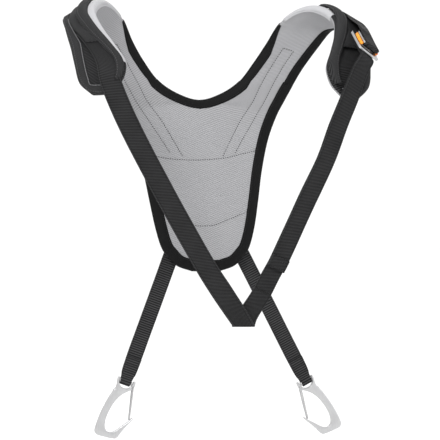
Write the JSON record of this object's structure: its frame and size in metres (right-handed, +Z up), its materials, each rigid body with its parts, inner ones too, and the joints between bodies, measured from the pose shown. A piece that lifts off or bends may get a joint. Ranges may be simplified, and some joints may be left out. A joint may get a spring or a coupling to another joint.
{
  "type": "shoulder harness",
  "caption": "Padded Y-shaped shoulder harness with a folded chest strap, a quick-release buckle and rear straps that end in wire-gate carabiners.",
  "frame": {"origin": "middle of the harness, level with the tops of the shoulder arches, at the back of the wearer's neck", "axes": "+Z up, +X to the right hand of a viewer who faces the wearer, -Y toward that viewer"},
  "size_m": [0.379, 0.204, 0.5542],
  "materials": {
    "foam": "matte",
    "lining": "woven grey lining",
    "black_fabric": "woven black",
    "webbing": "woven webbing",
    "facing": "light grey facing",
    "steel": "satin",
    "aluminium": "satin",
    "lever": "orange anodised look"
  },
  "bodies": {
    "harness": {"buckle_frame": "steel", "adjuster_bar": "steel", "left_lever_pin": "steel", "right_lever_pin": "steel", "panel_foam": "foam", "left_arm_foam": "foam", "right_arm_foam": "foam", "yoke_lining": "lining", "outer_fabric": "black_fabric", "armhole_binding": "black_fabric", "neck_binding": "black_fabric", "left_arm_facing": "facing", "right_arm_facing": "facing", "left_neck_wing": "black_fabric", "right_neck_wing": "black_fabric", "left_outer_wing": "black_fabric", "right_outer_wing": "black_fabric", "left_shoulder_webbing": "webbing", "right_shoulder_webbing": "webbing", "chest_strap_front": "webbing", "chest_strap_load": "webbing", "strap_tail": "webbing", "tail_hem": "webbing", "left_rear_anchor": "webbing", "right_rear_anchor": "webbing", "back_patch": "black_fabric"},
    "tongue": {"buckle_tongue": "steel", "tongue_hook": "steel", "tongue_webbing": "webbing"},
    "left_lever": {"left_release_lever": "lever"},
    "right_lever": {"right_release_lever": "lever"},
    "left_rear": {"left_rear_strap": "webbing"},
    "right_rear": {"right_rear_strap": "webbing"},
    "left_clip": {"left_carabiner": "aluminium", "left_eye_pin": "steel"},
    "right_clip": {"right_carabiner": "aluminium", "right_eye_pin": "steel"},
    "left_gate": {"left_wire_gate": "steel"},
    "right_gate": {"right_wire_gate": "steel"}
  },
  "joints": [
    {"name": "tongue_lift", "type": "slide", "parent": "harness", "child": "tongue", "axis": [0.6355, -0.4851, 0.6007], "range_m": [0, 0.012]},
    {"name": "right_lever_squeeze", "type": "hinge", "parent": "harness", "child": "right_lever", "pos_m": [0.18572, -0.16957, -0.06168], "axis": [0.6355, -0.4851, 0.6007], "range_deg": [0, 6], "stiffness_Nm_per_rad": 0.02, "springref_deg": -2.86},
    {"name": "left_lever_squeeze", "type": "hinge", "parent": "harness", "child": "left_lever", "pos_m": [0.16262, -0.18568, -0.05025], "axis": [-0.6355, 0.4851, -0.6007], "range_deg": [0, 6], "stiffness_Nm_per_rad": 0.02, "springref_deg": -2.86},
    {"name": "left_rear_swing", "type": "hinge", "parent": "harness", "child": "left_rear", "pos_m": [-0.046, -0.03707, -0.319], "axis": [-0.9385, 0, 0.3453], "range_deg": [-35, 40]},
    {"name": "right_rear_swing", "type": "hinge", "parent": "harness", "child": "right_rear", "pos_m": [0.054, -0.03707, -0.318], "axis": [-0.888, 0, -0.4598], "range_deg": [-35, 40]},
    {"name": "left_clip_swing", "type": "hinge", "parent": "left_rear", "child": "left_clip", "pos_m": [-0.101, -0.03707, -0.4685], "axis": [-0.9385, 0, 0.3453], "range_deg": [-55, 55]},
    {"name": "right_clip_swing", "type": "hinge", "parent": "right_rear", "child": "right_clip", "pos_m": [0.134, -0.03707, -0.4725], "axis": [-0.888, 0, -0.4598], "range_deg": [-55, 55]},
    {"name": "left_gate_open", "type": "hinge", "parent": "left_clip", "child": "left_gate", "pos_m": [-0.09151, -0.03707, -0.47455], "axis": [0, 1, 0], "range_deg": [0, 25], "stiffness_Nm_per_rad": 0.02, "springref_deg": -5.73},
    {"name": "right_gate_open", "type": "hinge", "parent": "right_clip", "child": "right_gate", "pos_m": [0.12534, -0.03707, -0.47969], "axis": [0, -1, 0], "range_deg": [0, 25], "stiffness_Nm_per_rad": 0.02, "springref_deg": -5.73}
  ]
}
